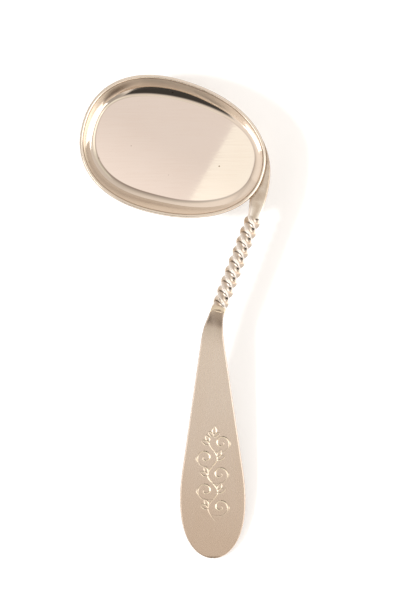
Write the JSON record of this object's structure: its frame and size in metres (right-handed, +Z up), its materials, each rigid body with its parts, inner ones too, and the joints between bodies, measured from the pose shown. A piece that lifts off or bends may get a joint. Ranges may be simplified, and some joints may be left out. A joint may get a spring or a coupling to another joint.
{
  "type": "cream ladle",
  "caption": "Small silver ladle: oval flat-bottomed bowl with a wire rim, twisted square stem soldered along the bowl's wall, and a flat tapering engraved handle.",
  "frame": {"origin": "middle of the bowl's flat underside, on the table", "axes": "+Z up out of the bowl, -Y along the handle towards its tip, +X towards the side of the bowl that carries the stem"},
  "size_m": [0.0629, 0.161, 0.014],
  "materials": {
    "bowl": "polished silver, fine wiping scratches",
    "rim_wire": "polished silver wire",
    "rim_solder": "silver solder, dull",
    "stem": "polished silver, toned in the hollows of the twist",
    "strap_solder": "silver solder, dull",
    "blade": "satin silver, engraved",
    "blade_solder": "silver solder, dull"
  },
  "bodies": {
    "root": {"bowl": "bowl", "rim_wire": "rim_wire", "rim_solder": "rim_solder", "stem": "stem", "strap_solder": "strap_solder", "blade": "blade", "blade_solder": "blade_solder"}
  },
  "joints": []
}
